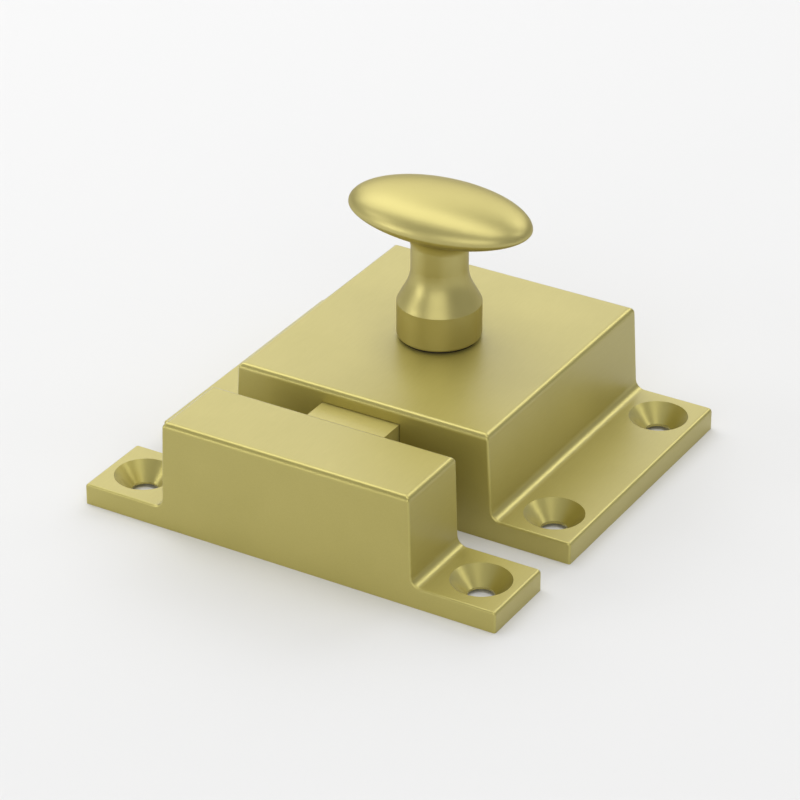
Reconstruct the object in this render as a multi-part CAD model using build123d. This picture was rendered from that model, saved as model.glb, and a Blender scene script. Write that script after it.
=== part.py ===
"""Surface-mounted cabinet latch: a sprung bolt in a brass case, worked by an oval knob, and its strike.

Millimetres. +X runs along the wide flanges, +Y from the strike to the case, +Z out of the door.
The origin is on the mounting face, where the knob's axis meets the middle of the case's screw holes.
"""
import math
import os

from build123d import *

# Case: one brass casting with a drafted box between two screw flanges
case_width = 58.0
case_depth = 37.9
case_height = 14.3
case_box_top = 35.2
case_box_base = 36.5
case_flange = 2.9
case_end_wall = 2.2
case_side_wall = 2.2
case_roof = 1.9
cavity_corner = 1.5

# Strike: the same section cut short, with a pocket for the bolt
strike_width = 57.4
strike_depth = 11.1
strike_height = 14.7
strike_box_top = 34.1
strike_box_base = 34.9
strike_flange = 2.8
strike_wall = 2.0
strike_side_wall = 3.0
strike_gap = 6.5
strike_slot_clearance = 0.6

# Cast edges
root_fillet = 1.3
top_round = 0.8
flange_round = 0.5
face_round = 0.3

# Countersunk fixing holes, relieved underneath
screw_hole = 3.3
countersink = 7.5
countersink_angle = 90.0
hole_relief = 6.4
hole_relief_depth = 0.45
case_hole_span_x = 48.0
case_hole_span_y = 27.4
strike_hole_span = 47.4

# Knob: one turned piece with an oval head, a round shank and a square end
head_length = 24.7
head_width = 14.6
head_crown = 3.45
head_belly = 3.0
head_mid_radius = 6.2
head_mid_drop = 2.35
head_rim_radius = 10.5
head_rim_drop = 1.2
head_rim_pull = 0.5
head_belly_slope = 0.06
head_height = 16.35
neck_diameter = 7.2
neck_height = 9.4
neck_flare = 2.4
knob_base_diameter = 10.7
knob_base_height = 4.6
knob_base_round = 0.3
neck_fillet = 2.0
shank_diameter = 5.0
spindle_clearance = 0.05
square_size = 3.4
square_clearance = 0.03
knob_turn = 60.0

# Thrust washer under the knob
washer_diameter = 9.8
washer_thickness = 0.3
end_play = 0.03

# Bolt: a nose that passes the case's front wall, a slotted bar and a tail lug
bolt_width = 10.8
bolt_nose_height = 6.0
bolt_engagement = 3.6
bolt_bevel_tip = 1.8
bolt_bevel_angle = 45.0
bolt_bar_width = 16.0
bolt_bar_thickness = 3.0
bolt_lug_thickness = 3.0
bolt_shoulder_gap = 0.05
slide_clearance = 0.1
bolt_corner = 0.6

# Spindle boss inside the case
boss_diameter = 7.6
boss_slot_clearance = 0.15
boss_below_bar = 0.3

# Cam: flanks are involutes, so the bolt draws back evenly as the knob turns
cam_base_radius = 4.75
cam_flat = 4.2
cam_thickness = 3.0
cam_running_gap = 0.05
cam_hub_radius = 4.2
cam_hub_angle = 30.0
cam_lobe_depth = 2.0
cam_overrun = 6.0
cam_tip_round = 0.4

# Fasteners
cam_screw_diameter = 2.0
cam_screw_length = 5.0
cam_screw_head = 3.8
cam_screw_head_height = 1.3
cam_washer_diameter = 6.4
cam_washer_thickness = 0.5
plate_screw_diameter = 2.0
plate_screw_head = 3.7
plate_screw_length = 5.0
thread_clearance = 0.02
tap_runout = 1.0
driver_slot_width = 0.6
driver_slot_depth = 0.5

# Back plate that closes the case
plate_thickness = 1.0
plate_recess = 0.15
plate_ledge = 1.0
plate_gap = 0.1
plate_boss_diameter = 5.0
plate_boss_inset = 2.2

# Spring behind the bolt
spring_diameter = 5.0
spring_wire = 0.55
spring_turns = 5.0
spring_wire_sides = 6
spring_end_gap = 0.03
spring_post_diameter = 3.2
spring_post_length = 1.4

# Heights, from the mounting face upwards
ceiling = case_height - case_roof
bolt_top = ceiling - slide_clearance
bar_bottom = bolt_top - bolt_bar_thickness
nose_bottom = bolt_top - bolt_nose_height
boss_bottom = bar_bottom - boss_below_bar
cam_top = boss_bottom - cam_running_gap
cam_bottom = cam_top - cam_thickness
cam_washer_bottom = cam_bottom - cam_washer_thickness
plate_top = plate_recess + plate_thickness
knob_bottom = case_height + washer_thickness + end_play
spring_z = (cam_bottom + bolt_top) / 2

# Depths, from the strike backwards
case_front = -case_depth / 2
case_back = case_depth / 2
front_wall_inside = case_front + case_end_wall
back_wall_inside = case_back - case_end_wall
strike_back = case_front - strike_gap
strike_front = strike_back - strike_depth
strike_middle = strike_back - strike_depth / 2
bolt_tip = strike_back - bolt_engagement
bolt_shoulder = front_wall_inside + bolt_shoulder_gap
lug_front = cam_flat + cam_running_gap
lug_back = lug_front + bolt_lug_thickness
bolt_travel = cam_base_radius * math.radians(knob_turn)

# Widths
cavity_width = case_box_top - 2 * case_side_wall
cavity_depth = case_depth - 2 * case_end_wall
plate_width = cavity_width + 2 * plate_ledge
plate_depth = cavity_depth + 2 * plate_ledge
plate_screw_x = cavity_width / 2 - plate_boss_inset
plate_screw_y = cavity_depth / 2 - plate_boss_inset
plate_screw_points = [(sx * plate_screw_x, sy * plate_screw_y) for sx in (-1, 1) for sy in (-1, 1)]


def block(x0, x1, y0, y1, z0, z1):
    """Box between two corners."""
    centre = ((x0 + x1) / 2, (y0 + y1) / 2, (z0 + z1) / 2)
    return Pos(*centre) * Box(x1 - x0, y1 - y0, z1 - z0)


def post(diameter, z0, z1, x=0.0, y=0.0):
    """Upright cylinder between two heights."""
    return Pos(x, y, (z0 + z1) / 2) * Cylinder(diameter / 2, z1 - z0)


def post_along_y(diameter, y0, y1, z):
    """Cylinder between two depths, on the middle plane."""
    return Pos(0, (y0 + y1) / 2, z) * Rot(90, 0, 0) * Cylinder(diameter / 2, y1 - y0)


def slab(width, depth, corner, z0, z1):
    """Upright prism with a rounded rectangular outline."""
    return Pos(0, 0, z0) * extrude(RectangleRounded(width, depth, corner), z1 - z0)


def countersunk_hole(x, y, top):
    """Tool for a clearance hole with a conical seat that opens at the given height and a shallow relief below."""
    seat_depth = (countersink - screw_hole) / 2 / math.tan(math.radians(countersink_angle / 2))
    seat = Pos(x, y, top - seat_depth / 2) * Cone(screw_hole / 2, countersink / 2, seat_depth)
    relief = Pos(x, y, hole_relief_depth / 2) * Cone(hole_relief / 2, screw_hole / 2, hole_relief_depth)
    return post(screw_hole, 0, top, x, y) + seat + relief


def hat_section(width, height, box_top, box_base, flange, y0, y1):
    """Drafted box between two flanges, with rooted inner corners, a rounded top and softened outer edges."""
    outline = Polyline(
        (-width / 2, 0),
        (width / 2, 0),
        (width / 2, flange),
        (box_base / 2, flange),
        (box_top / 2, height),
        (-box_top / 2, height),
        (-box_base / 2, flange),
        (-width / 2, flange),
        close=True,
    )
    face = make_face(outline)
    roots = [v for v in face.vertices() if abs(abs(v.X) - box_base / 2) < 1e-6]
    face = fillet(roots, root_fillet)
    ends = [v for v in face.vertices() if abs(abs(v.X) - width / 2) < 1e-6 and v.Y > 0]
    face = fillet(ends, flange_round)
    body = extrude(Plane.XZ.offset(-y1) * face, y1 - y0)
    body = fillet(body.faces().sort_by(Axis.Z)[-1].edges(), top_round)
    rims = [e for e in body.edges() if abs(e.center().Y - y0) < 1e-6 or abs(e.center().Y - y1) < 1e-6]
    return fillet([e for e in rims if e.center().Z > 1e-6], face_round)


def make_case():
    """Case casting: mechanism cavity, spindle boss, bolt window, plate seat and fixing holes."""
    body = hat_section(case_width, case_height, case_box_top, case_box_base, case_flange, case_front, case_back)
    body -= slab(cavity_width, cavity_depth, cavity_corner, 0, ceiling)
    bosses = post(boss_diameter, boss_bottom, ceiling)
    for x, y in plate_screw_points:
        corner_x = math.copysign(cavity_width / 2, x)
        corner_y = math.copysign(cavity_depth / 2, y)
        pad = block(*sorted((x, corner_x)), *sorted((y, corner_y)), plate_top, ceiling)
        pillar = post(plate_boss_diameter, plate_top, ceiling, x, y)
        bosses += pad + (pillar & slab(cavity_width, cavity_depth, cavity_corner, 0, ceiling))
    bosses += post_along_y(spring_post_diameter, back_wall_inside - spring_post_length, back_wall_inside, spring_z)
    body += bosses
    body -= post(shank_diameter + 2 * spindle_clearance, boss_bottom, case_height)
    half_window = bolt_width / 2 + slide_clearance
    body -= block(-half_window, half_window, case_front, front_wall_inside, nose_bottom - slide_clearance, ceiling)
    body -= slab(plate_width, plate_depth, cavity_corner + plate_ledge, 0, plate_top)
    for x, y in plate_screw_points:
        body -= post(plate_screw_diameter + 2 * thread_clearance, plate_top, plate_top + plate_screw_length, x, y)
    for sx in (-1, 1):
        for sy in (-1, 1):
            body -= countersunk_hole(sx * case_hole_span_x / 2, sy * case_hole_span_y / 2, case_flange)
    return body


def make_strike():
    """Strike casting: a pocket open below, a slot for the bolt in its back wall and two fixing holes."""
    body = hat_section(
        strike_width, strike_height, strike_box_top, strike_box_base, strike_flange, strike_front, strike_back
    )
    pocket_ceiling = bolt_top + slide_clearance
    half_pocket = strike_box_top / 2 - strike_side_wall
    body -= block(-half_pocket, half_pocket, strike_front + strike_wall, strike_back - strike_wall, 0, pocket_ceiling)
    half_slot = bolt_width / 2 + strike_slot_clearance
    slot_bottom = nose_bottom - strike_slot_clearance
    body -= block(-half_slot, half_slot, strike_back - strike_wall, strike_back, slot_bottom, pocket_ceiling)
    for sx in (-1, 1):
        body -= countersunk_hole(sx * strike_hole_span / 2, strike_middle, strike_flange)
    return body


def make_knob():
    """Turned knob: oval head on a waisted neck, base, shank and squared end with a tapped hole."""
    head_z = knob_bottom + head_height
    head_radius = head_length / 2
    crown = EllipticalCenterArc((0, head_z), head_radius, head_crown, 0, arc_size=90)
    belly = Spline(
        (0, head_z - head_belly),
        (head_mid_radius, head_z - head_mid_drop),
        (head_rim_radius, head_z - head_rim_drop),
        (head_radius, head_z),
        tangents=((1, head_belly_slope), (0, 1)),
        tangent_scalars=(1, head_rim_pull),
    )
    axis_line = Line((0, head_z - head_belly), (0, head_z + head_crown))
    head = revolve(Plane.XZ * make_face([belly, crown, axis_line]), Axis.Z)
    head = scale(head, by=(1, head_width / head_length, 1))

    base_top = knob_bottom + knob_base_height
    waist = knob_bottom + neck_height
    base_radius = knob_base_diameter / 2
    neck_radius = neck_diameter / 2
    neck_curve = Spline(
        (base_radius, base_top),
        (neck_radius, waist),
        tangents=((-1, neck_flare), (0, 1)),
    )
    stem_outline = [
        Line((0, knob_bottom), (base_radius, knob_bottom)),
        Line((base_radius, knob_bottom), (base_radius, base_top)),
        neck_curve,
        Line((neck_radius, waist), (neck_radius, head_z)),
        Line((neck_radius, head_z), (0, head_z)),
        Line((0, head_z), (0, knob_bottom)),
    ]
    stem = revolve(Plane.XZ * make_face(stem_outline), Axis.Z)
    foot = stem.edges().filter_by(GeomType.CIRCLE).sort_by(Axis.Z)[0]
    body = head + fillet(foot, knob_base_round)
    curved = body.edges().filter_by(GeomType.LINE, reverse=True)
    joint_ring = [e for e in curved if waist + knob_base_round < e.center().Z < head_z - head_belly / 2]
    body = fillet(joint_ring, neck_fillet)
    body += post(shank_diameter, cam_top, knob_bottom)
    square_bottom = cam_bottom + end_play
    body += block(-square_size / 2, square_size / 2, -square_size / 2, square_size / 2, square_bottom, cam_top)
    tapped = cam_screw_diameter + 2 * thread_clearance
    body -= post(tapped, square_bottom, cam_washer_bottom + cam_screw_length + tap_runout)
    return body


def make_knob_washer():
    """Thin washer that the knob turns on."""
    hole = shank_diameter + 4 * spindle_clearance
    ring = post(washer_diameter, case_height, case_height + washer_thickness)
    return ring - post(hole, case_height, case_height + washer_thickness)


def cam_flank(turn):
    """Point of the left flank that meets the bolt's lug after the knob has turned by this angle in radians."""
    roll = cam_flat + cam_base_radius * turn
    x = -cam_base_radius * math.cos(turn) - roll * math.sin(turn)
    y = -cam_base_radius * math.sin(turn) + roll * math.cos(turn)
    return x, y


def make_cam():
    """Cam plate on the knob's square end, with a lobe each side."""
    flank_end = math.radians(knob_turn + cam_overrun)
    left = [cam_flank(flank_end * share) for share in (0, 0.2, 0.4, 0.6, 0.8, 1)]
    right = [(-x, y) for x, y in left]
    tip_x, tip_y = left[-1]
    heel = (tip_x + cam_lobe_depth / 2, tip_y - cam_lobe_depth)
    hub_side = cam_hub_radius * math.cos(math.radians(cam_hub_angle))
    hub_low = -cam_hub_radius * math.sin(math.radians(cam_hub_angle))
    outline = [
        Line(right[0], left[0]),
        Spline(*left),
        Line(left[-1], heel),
        Line(heel, (-hub_side, hub_low)),
        ThreePointArc((-hub_side, hub_low), (0, -cam_hub_radius), (hub_side, hub_low)),
        Line((hub_side, hub_low), (-heel[0], heel[1])),
        Line((-heel[0], heel[1]), right[-1]),
        Spline(*reversed(right)),
    ]
    face = make_face(outline)
    tips = [v for v in face.vertices() if abs(v.X) > abs(heel[0]) - 1e-6]
    face = fillet(tips, cam_tip_round)
    plate = Pos(0, 0, cam_bottom) * extrude(face, cam_thickness)
    hole = square_size / 2 + square_clearance
    return plate - block(-hole, hole, -hole, hole, cam_bottom, cam_top)


def make_cam_washer():
    """Washer between the cam and its screw."""
    ring = post(cam_washer_diameter, cam_washer_bottom, cam_bottom)
    return ring - post(cam_screw_diameter + 4 * thread_clearance, cam_washer_bottom, cam_bottom)


def make_cam_screw():
    """Slotted screw that clamps the cam to the knob."""
    head_bottom = cam_washer_bottom - cam_screw_head_height
    screw = post(cam_screw_diameter, cam_washer_bottom, cam_washer_bottom + cam_screw_length)
    screw += post(cam_screw_head, head_bottom, cam_washer_bottom)
    half_slot = driver_slot_width / 2
    return screw - block(
        -cam_screw_head, cam_screw_head, -half_slot, half_slot, head_bottom, head_bottom + driver_slot_depth
    )


def make_bolt():
    """Latch bolt: bevelled nose, shouldered bar with a slot for the spindle boss, and a tail lug."""
    half_nose = bolt_width / 2
    bevel_run = (bolt_nose_height - bolt_bevel_tip) / math.tan(math.radians(bolt_bevel_angle))
    side = Polyline(
        (bolt_tip, bolt_top),
        (bolt_shoulder, bolt_top),
        (bolt_shoulder, nose_bottom),
        (bolt_tip + bevel_run, nose_bottom),
        (bolt_tip, bolt_top - bolt_bevel_tip),
        close=True,
    )
    nose = extrude(Plane.YZ.offset(-half_nose) * make_face(side), bolt_width)
    half_bar = bolt_bar_width / 2
    bar = block(-half_bar, half_bar, bolt_shoulder, lug_back, bar_bottom, bolt_top)
    lug = block(-half_bar, half_bar, lug_front, lug_back, cam_bottom, bar_bottom)
    slot_width = boss_diameter + 2 * boss_slot_clearance
    slot_front = -bolt_travel - boss_slot_clearance
    slot = post(slot_width, bar_bottom, bolt_top) + post(slot_width, bar_bottom, bolt_top, 0, slot_front)
    slot += block(-slot_width / 2, slot_width / 2, slot_front, 0, bar_bottom, bolt_top)
    bolt = nose + bar + lug - slot
    rear_corners = [e for e in bolt.edges().filter_by(Axis.Z) if e.center().Y > lug_back - 1e-6]
    bolt = fillet(rear_corners, bolt_corner)
    return bolt + post_along_y(spring_post_diameter, lug_back, lug_back + spring_post_length, spring_z)


def make_spring():
    """Compression spring between the bolt's lug and the case's back wall."""
    start = lug_back + spring_end_gap + spring_wire / 2
    length = back_wall_inside - spring_end_gap - spring_wire / 2 - start
    helix = Helix(length / spring_turns, length, (spring_diameter - spring_wire) / 2)
    wire_plane = Plane(origin=helix @ 0, z_dir=helix % 0)
    coil = sweep(wire_plane * RegularPolygon(spring_wire / 2, spring_wire_sides), path=helix)
    return Pos(0, start, spring_z) * Rot(-90, 0, 0) * coil


def make_back_plate():
    """Plate that lies in the case's seat and holds the mechanism in."""
    plate = slab(
        plate_width - 2 * plate_gap,
        plate_depth - 2 * plate_gap,
        cavity_corner + plate_ledge - plate_gap,
        plate_recess,
        plate_top,
    )
    seat = (plate_screw_head - plate_screw_diameter) / 2
    for x, y in plate_screw_points:
        plate -= post(plate_screw_diameter + 4 * thread_clearance, plate_recess, plate_top, x, y)
        plate -= Pos(x, y, plate_recess + seat / 2) * Cone(plate_screw_head / 2, plate_screw_diameter / 2, seat)
    return plate


def make_plate_screw(x, y):
    """Slotted countersunk screw, flush with the back plate."""
    seat = (plate_screw_head - plate_screw_diameter) / 2
    screw = Pos(x, y, plate_recess + seat / 2) * Cone(plate_screw_head / 2, plate_screw_diameter / 2, seat)
    screw += post(plate_screw_diameter, plate_recess + seat, plate_recess + plate_screw_length, x, y)
    half_slot = driver_slot_width / 2
    half_head = plate_screw_head / 2
    return screw - block(
        x - half_head, x + half_head, y - half_slot, y + half_slot, plate_recess, plate_recess + driver_slot_depth
    )


nodes = {
    "latch_case": make_case(),
    "strike": make_strike(),
    "knob": make_knob(),
    "knob_washer": make_knob_washer(),
    "cam": make_cam(),
    "cam_washer": make_cam_washer(),
    "cam_screw": make_cam_screw(),
    "latch_bolt": make_bolt(),
    "bolt_spring": make_spring(),
    "back_plate": make_back_plate(),
    "back_plate_screws": Compound(children=[make_plate_screw(x, y) for x, y in plate_screw_points]),
}

os.makedirs("parts", exist_ok=True)
for name, solid in nodes.items():
    solid.label = name
    export_step(solid, f"parts/{name}.step")
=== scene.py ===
import math

import bpy
from mathutils import Matrix, Vector


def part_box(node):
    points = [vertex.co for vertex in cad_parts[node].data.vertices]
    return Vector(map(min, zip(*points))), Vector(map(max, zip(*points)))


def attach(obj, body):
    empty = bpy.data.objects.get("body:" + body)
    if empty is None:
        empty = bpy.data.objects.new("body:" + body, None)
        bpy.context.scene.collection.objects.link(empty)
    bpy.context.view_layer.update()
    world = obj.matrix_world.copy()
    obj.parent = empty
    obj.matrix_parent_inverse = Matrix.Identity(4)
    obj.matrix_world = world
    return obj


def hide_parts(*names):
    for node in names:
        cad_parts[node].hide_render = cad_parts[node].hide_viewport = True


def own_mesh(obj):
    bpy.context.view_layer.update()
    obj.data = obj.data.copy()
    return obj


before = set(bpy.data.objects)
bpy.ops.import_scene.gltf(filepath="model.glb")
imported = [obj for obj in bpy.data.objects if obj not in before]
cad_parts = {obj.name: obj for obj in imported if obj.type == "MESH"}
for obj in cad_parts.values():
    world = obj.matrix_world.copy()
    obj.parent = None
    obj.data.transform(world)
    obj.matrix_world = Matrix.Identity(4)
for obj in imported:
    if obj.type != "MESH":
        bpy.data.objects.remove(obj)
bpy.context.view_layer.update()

MM = 0.001

# Camera at the photograph's viewing angle, in degrees, millimetres and picture pixels
CAMERA_AZIMUTH = 30.6
CAMERA_ELEVATION = 29.53
CAMERA_DISTANCE = 462.3
CAMERA_TARGET = (-4.15, -2.57, 5.0)
CAMERA_NEAR = 10.0
SENSOR_WIDTH = 36.0
FOCAL_PIXELS = 3679.7
PICTURE_PIXELS = 800

# Metals, in linear colour: a main tone and, where the metal is uneven, the tone that it drifts to
CASE_BRASS = (0.49, 0.428, 0.114)
CASE_SHADE = (0.467, 0.407, 0.103)
KNOB_BRASS = (0.51, 0.449, 0.163)
KNOB_SHADE = (0.49, 0.43, 0.153)
KNOB_RIM = (0.42, 0.37, 0.23)
# Bolt brass is painted paler than the case's brass, as painted light on the bolt's top where it lies in
# shade between case and strike
BOLT_BRASS_PAINTED_LIGHT = (0.62, 0.55, 0.18)
BOLT_SHADE_PAINTED_LIGHT = (0.59, 0.52, 0.165)
PLATE_BRASS = (0.56, 0.47, 0.19)
PLATE_SHADE = (0.53, 0.445, 0.175)
STEEL = (0.46, 0.46, 0.47)
SPRING_STEEL = (0.34, 0.34, 0.35)
# Near-black steel for the knob washer is painted shadow: it stands for the dark shadow line under the
# knob's foot
WASHER_PAINTED_SHADOW = (0.07, 0.065, 0.05)
WHITE = (1.0, 1.0, 1.0)

# Gloss: satin less its spread and the burnish stays above 0.28, because renders speckle below that
SATIN_ROUGHNESS = 0.66
KNOB_ROUGHNESS = 0.40
PLATE_ROUGHNESS = 0.5
STEEL_ROUGHNESS = 0.42
SPRING_ROUGHNESS = 0.38
DARK_ROUGHNESS = 0.5
GLOSS_SPREAD = 0.04
EDGE_BURNISH = 0.33

# Clear lacquer over the brass
FULL_LACQUER = 1.0
KNOB_LACQUER = 0.4
LACQUER_ROUGHNESS = 0.36
LACQUER_IOR = 1.5
LACQUERED_METALLIC = 0.82

# Slow drift of tone, with the noise levels where each tone is reached
DRIFT_SCALE = 90.0
DRIFT_DETAIL = 3.0
DRIFT_ROUGHNESS = 0.55
DRIFT_LEVELS = (0.35, 0.65)

# Fine grain, its depth in millimetres, and how it is scaled to run along an axis
GRAIN_SCALE = 9000.0
GRAIN_DETAIL = 2.0
GRAIN_ROUGHNESS = 0.6
GRAIN_LEVELS = (0.3, 0.7)
GRAIN_DEPTH = 0.002
GRAIN_STRENGTH = 0.2
KNOB_GRAIN_STRENGTH = 0.1
ALONG_X = (0.05, 1.0, 1.0)
ALONG_Y = (1.0, 0.05, 1.0)
EVEN = (1.0, 1.0, 1.0)

# Largest part of a normal along an axis: rounded edges and countersinks lie below, flat faces above
FLATNESS_LEVELS = (0.90, 0.98)

# Bolt spring's wire, in millimetres, and how finely its coil is drawn
SPRING_WIRE = 0.55
SPRING_TURNS = 5
STEPS_PER_TURN = 40
WIRE_SIDES = 12

# Floor: half its width and its gap to the latch, in millimetres
FLOOR_HALF = 1600.0
FLOOR_GAP = 0.02
FLOOR_COLOUR = (0.77, 0.77, 0.77)
FLOOR_ROUGHNESS = 0.9
FLOOR_SPECULAR = 0.1

# Even white surround and the point, in metres, that the lamps are turned to
SURROUND_STRENGTH = 0.40
LAMP_AIM = (0.0, 0.0, 0.012)

# Soft lamps: name, place and size in metres, watts, and the direction that the width lies along
LAMPS = (
    ("key", (-0.34, 0.70, 0.50), (1.05, 0.7), 2.95, (0.9, 0.44, 0.0)),
    ("rim", (0.25, 0.75, 0.62), (0.35, 0.4), 0.8, (0.95, -0.32, 0.0)),
    ("top", (-0.20, 0.04, 0.68), (1.5, 0.38), 3.55, (0.96, -0.26, 0.0)),
    ("left", (-0.60, -0.69, 0.15), (0.4, 0.28), 1.2, (0.75, -0.66, 0.0)),
    ("side", (-0.77, -0.38, 0.49), (0.35, 0.3), 0.7, (-0.44, 0.9, 0.0)),
    ("corner", (0.64, 0.41, 0.65), (0.3, 0.3), 0.55, (-0.54, 0.84, 0.0)),
    ("front", (0.34, -0.78, 0.40), (0.9, 0.5), 2.1, (0.92, 0.40, 0.0)),
)


def add_node(tree, kind, **inputs):
    """New shader node with the named inputs set."""
    node = tree.nodes.new(kind)
    for name, value in inputs.items():
        node.inputs[name].default_value = value
    return node


def add_math(tree, operation, first, second):
    """Result of a math node on two sockets."""
    node = tree.nodes.new("ShaderNodeMath")
    node.operation = operation
    tree.links.new(first, node.inputs[0])
    tree.links.new(second, node.inputs[1])
    return node.outputs["Value"]


def map_range(tree, source, levels, results):
    """Socket that turns a source between two levels into a value between two results."""
    node = tree.nodes.new("ShaderNodeMapRange")
    node.inputs["From Min"].default_value, node.inputs["From Max"].default_value = levels
    node.inputs["To Min"].default_value, node.inputs["To Max"].default_value = results
    tree.links.new(source, node.inputs["Value"])
    return node.outputs["Result"]


def drifting_tone(tree, place, colour, shade):
    """Colour that drifts slowly over the metal, from a shade to its main tone."""
    drift = add_node(
        tree, "ShaderNodeTexNoise", Scale=DRIFT_SCALE, Detail=DRIFT_DETAIL, Roughness=DRIFT_ROUGHNESS
    )
    tree.links.new(place.outputs["Object"], drift.inputs["Vector"])
    tone = tree.nodes.new("ShaderNodeValToRGB")
    for stop, level, paint in zip(tone.color_ramp.elements, DRIFT_LEVELS, (shade, colour)):
        stop.position = level
        stop.color = (*paint, 1.0)
    tree.links.new(drift.outputs["Fac"], tone.inputs["Fac"])
    return tone.outputs["Color"]


def drawn_grain(tree, place, lay):
    """Fine noise, drawn out along the way that the metal was worked."""
    stretch = add_node(tree, "ShaderNodeMapping", Scale=lay)
    tree.links.new(place.outputs["Object"], stretch.inputs["Vector"])
    lines = add_node(
        tree, "ShaderNodeTexNoise", Scale=GRAIN_SCALE, Detail=GRAIN_DETAIL, Roughness=GRAIN_ROUGHNESS
    )
    tree.links.new(stretch.outputs["Vector"], lines.inputs["Vector"])
    return lines.outputs["Fac"]


def by_flatness(tree, place, on_edges, on_flats):
    """One value on rounded edges and countersinks, passing into another on faces square to an axis."""
    turned = tree.nodes.new("ShaderNodeVectorMath")
    turned.operation = "ABSOLUTE"
    tree.links.new(place.outputs["Normal"], turned.inputs[0])
    split = tree.nodes.new("ShaderNodeSeparateXYZ")
    tree.links.new(turned.outputs["Vector"], split.inputs["Vector"])
    larger = add_math(tree, "MAXIMUM", split.outputs["X"], split.outputs["Y"])
    largest = add_math(tree, "MAXIMUM", larger, split.outputs["Z"])
    return map_range(tree, largest, FLATNESS_LEVELS, (on_edges, on_flats))


def new_material(name, colour, metallic, roughness):
    """Material with its principled shader and that shader's main values set."""
    material = bpy.data.materials.new(name)
    material.use_nodes = True
    shader = material.node_tree.nodes["Principled BSDF"]
    shader.inputs["Base Color"].default_value = (*colour, 1.0)
    shader.inputs["Metallic"].default_value = metallic
    shader.inputs["Roughness"].default_value = roughness
    return material, shader


def satin_metal(
    name, colour, shade, roughness, lay, grain=GRAIN_STRENGTH, lacquer=0.0, burnish=0.0, rim=WHITE
):
    """Satin metal with grain and uneven gloss, and on request lacquer, burnished edges and tinted rims."""
    metallic = LACQUERED_METALLIC if lacquer else 1.0
    material, shader = new_material(name, colour, metallic, roughness)
    shader.inputs["Coat Weight"].default_value = lacquer
    shader.inputs["Coat Roughness"].default_value = LACQUER_ROUGHNESS
    shader.inputs["Coat IOR"].default_value = LACQUER_IOR
    shader.inputs["Specular Tint"].default_value = (*rim, 1.0)

    tree = material.node_tree
    place = tree.nodes.new("ShaderNodeTexCoord")
    if shade != colour:
        tree.links.new(drifting_tone(tree, place, colour, shade), shader.inputs["Base Color"])
    lines = drawn_grain(tree, place, lay)
    gloss = map_range(tree, lines, GRAIN_LEVELS, (roughness - GLOSS_SPREAD, roughness + GLOSS_SPREAD))
    bump = add_node(tree, "ShaderNodeBump", Strength=grain, Distance=GRAIN_DEPTH * MM)
    tree.links.new(lines, bump.inputs["Height"])
    tree.links.new(bump.outputs["Normal"], shader.inputs["Normal"])
    if burnish:
        gloss = add_math(tree, "ADD", gloss, by_flatness(tree, place, -burnish, 0.0))
        tree.links.new(by_flatness(tree, place, 0.0, grain), bump.inputs["Strength"])
    tree.links.new(gloss, shader.inputs["Roughness"])
    return material


def dress(material, *nodes):
    """Gives CAD nodes one material."""
    for name in nodes:
        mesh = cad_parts[name].data
        mesh.materials.clear()
        mesh.materials.append(material)


def add_mesh(name, points, faces, material):
    """New object in the scene, from points and faces."""
    mesh = bpy.data.meshes.new(name)
    mesh.from_pydata(points, [], faces)
    mesh.materials.append(material)
    thing = bpy.data.objects.new(name, mesh)
    bpy.context.scene.collection.objects.link(thing)
    return thing


def coil_shape(start, ahead, length, coil, wire):
    """Points and faces of a round wire of radius wire, wound at radius coil, with both ends closed."""
    steps = SPRING_TURNS * STEPS_PER_TURN
    points = []
    for step in range(steps + 1):
        angle = 2 * math.pi * step / STEPS_PER_TURN
        out = Vector((math.cos(angle), 0.0, math.sin(angle)))
        centre = start + ahead * (length * step / steps) + out * coil
        for side in range(WIRE_SIDES):
            turn = 2 * math.pi * side / WIRE_SIDES
            points.append(centre + (out * math.cos(turn) + ahead * math.sin(turn)) * wire)
    faces = []
    for here in range(0, steps * WIRE_SIDES, WIRE_SIDES):
        beyond = here + WIRE_SIDES
        for side in range(WIRE_SIDES):
            following = (side + 1) % WIRE_SIDES
            faces.append((here + side, here + following, beyond + following, beyond + side))
    faces.append(tuple(reversed(range(WIRE_SIDES))))
    faces.append(tuple(range(steps * WIRE_SIDES, (steps + 1) * WIRE_SIDES)))
    return points, faces


def add_spring(material):
    """Round-wire coil that stands for the bolt's spring."""
    low, high = (Vector(corner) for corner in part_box("bolt_spring"))
    middle = (low + high) / 2
    ahead = Vector((0.0, 1.0, 0.0))
    wire = SPRING_WIRE * MM / 2
    coil = (high.x - low.x) / 2 - wire
    length = high.y - low.y - 2 * wire
    start = Vector((middle.x, low.y + wire, middle.z))
    points, faces = coil_shape(start, ahead, length, coil, wire)
    spring = add_mesh("closing_spring", points, faces, material)
    for polygon in spring.data.polygons:
        polygon.use_smooth = len(polygon.vertices) < WIRE_SIDES
    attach(spring, "case")
    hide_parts("bolt_spring")
    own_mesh(spring)


def add_floor():
    """Plain pale floor under the latch, a hair below it so that the two never share a plane."""
    half = FLOOR_HALF * MM
    level = -FLOOR_GAP * MM
    corners = [(-half, -half, level), (half, -half, level), (half, half, level), (-half, half, level)]
    material, shader = new_material("floor_paper", FLOOR_COLOUR, 0.0, FLOOR_ROUGHNESS)
    shader.inputs["Specular IOR Level"].default_value = FLOOR_SPECULAR
    floor = add_mesh("floor", corners, [(0, 1, 2, 3)], material)


def add_softbox(name, place, size, watts, along):
    """Area lamp at a place, pointed at the latch, with its width laid along a direction."""
    lamp = bpy.data.lights.new(name, "AREA")
    lamp.shape = "RECTANGLE"
    lamp.size, lamp.size_y = size
    lamp.energy = watts
    holder = bpy.data.objects.new(name, lamp)
    holder.location = place
    back = (Vector(place) - Vector(LAMP_AIM)).normalized()
    side = (Vector(along) - back * back.dot(Vector(along))).normalized()
    holder.rotation_euler = Matrix((side, back.cross(side), back)).transposed().to_euler()
    bpy.context.scene.collection.objects.link(holder)


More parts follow.
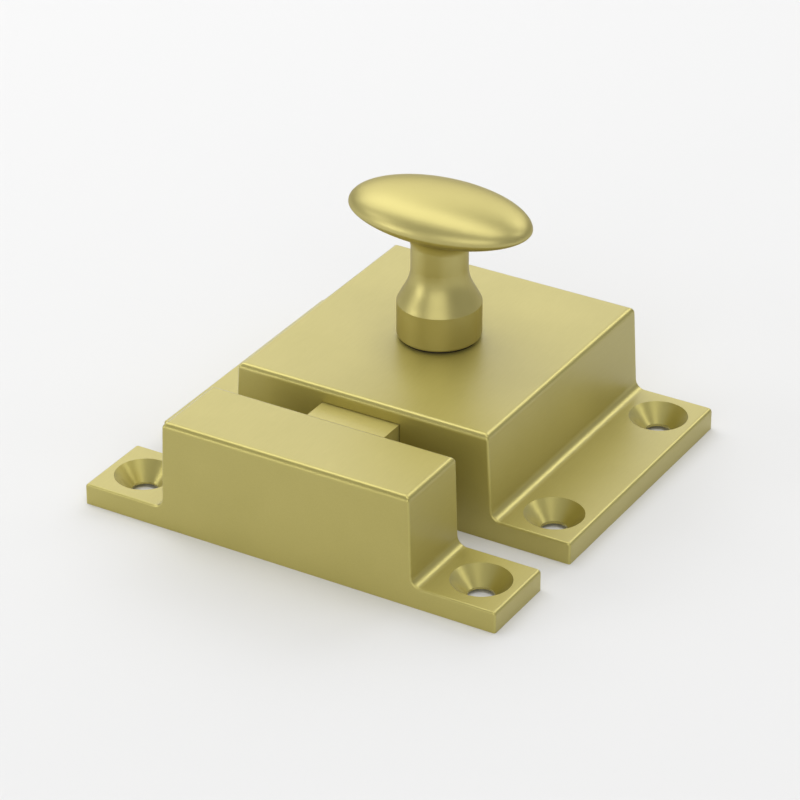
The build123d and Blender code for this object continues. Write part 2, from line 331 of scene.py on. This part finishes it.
def add_world():
    """Even white surround."""
    world = bpy.data.worlds.new("studio")
    world.use_nodes = True
    background = world.node_tree.nodes["Background"]
    background.inputs["Color"].default_value = (*WHITE, 1.0)
    background.inputs["Strength"].default_value = SURROUND_STRENGTH
    bpy.context.scene.world = world


def add_camera():
    """Camera that frames the latch as the photograph does."""
    azimuth = math.radians(CAMERA_AZIMUTH)
    elevation = math.radians(CAMERA_ELEVATION)
    back = Vector((
        math.sin(azimuth) * math.cos(elevation),
        -math.cos(azimuth) * math.cos(elevation),
        math.sin(elevation),
    ))
    data = bpy.data.cameras.new("camera")
    data.sensor_width = SENSOR_WIDTH
    data.lens = FOCAL_PIXELS * SENSOR_WIDTH / PICTURE_PIXELS
    data.clip_start = CAMERA_NEAR * MM
    camera = bpy.data.objects.new("camera", data)
    camera.location = Vector(CAMERA_TARGET) * MM + back * (CAMERA_DISTANCE * MM)
    camera.rotation_euler = (-back).to_track_quat("-Z", "Y").to_euler()
    bpy.context.scene.collection.objects.link(camera)
    bpy.context.scene.camera = camera


# Materials
case_brass = satin_metal(
    "case_brass", CASE_BRASS, CASE_SHADE, SATIN_ROUGHNESS, ALONG_Y,
    lacquer=FULL_LACQUER, burnish=EDGE_BURNISH,
)
knob_brass = satin_metal(
    "knob_brass", KNOB_BRASS, KNOB_SHADE, KNOB_ROUGHNESS, EVEN,
    grain=KNOB_GRAIN_STRENGTH, lacquer=KNOB_LACQUER, rim=KNOB_RIM,
)
# Bolt in the paler brass: painted light on its top, which lies in shade between case and strike
bolt_brass = satin_metal(
    "bolt_brass", BOLT_BRASS_PAINTED_LIGHT, BOLT_SHADE_PAINTED_LIGHT, SATIN_ROUGHNESS, ALONG_Y,
    lacquer=FULL_LACQUER,
)
plate_brass = satin_metal("plate_brass", PLATE_BRASS, PLATE_SHADE, PLATE_ROUGHNESS, ALONG_X)
steel = satin_metal("steel", STEEL, STEEL, STEEL_ROUGHNESS, EVEN)
spring_steel = satin_metal("spring_steel", SPRING_STEEL, STEEL, SPRING_ROUGHNESS, EVEN)
# Near-black washer steel: painted shadow for the line under the knob's foot
dark_steel = satin_metal("dark_steel", WASHER_PAINTED_SHADOW, WASHER_PAINTED_SHADOW, DARK_ROUGHNESS, EVEN)

# The latch
dress(case_brass, "latch_case", "strike")
dress(knob_brass, "knob")
dress(bolt_brass, "latch_bolt")
dress(plate_brass, "back_plate")
dress(steel, "cam", "cam_washer", "cam_screw", "back_plate_screws")
dress(dark_steel, "knob_washer")
add_spring(spring_steel)

# The studio
add_floor()
add_world()
for lamp_facts in LAMPS:
    add_softbox(*lamp_facts)
add_camera()
bpy.context.scene.view_settings.view_transform = "Standard"

bpy.context.view_layer.update()
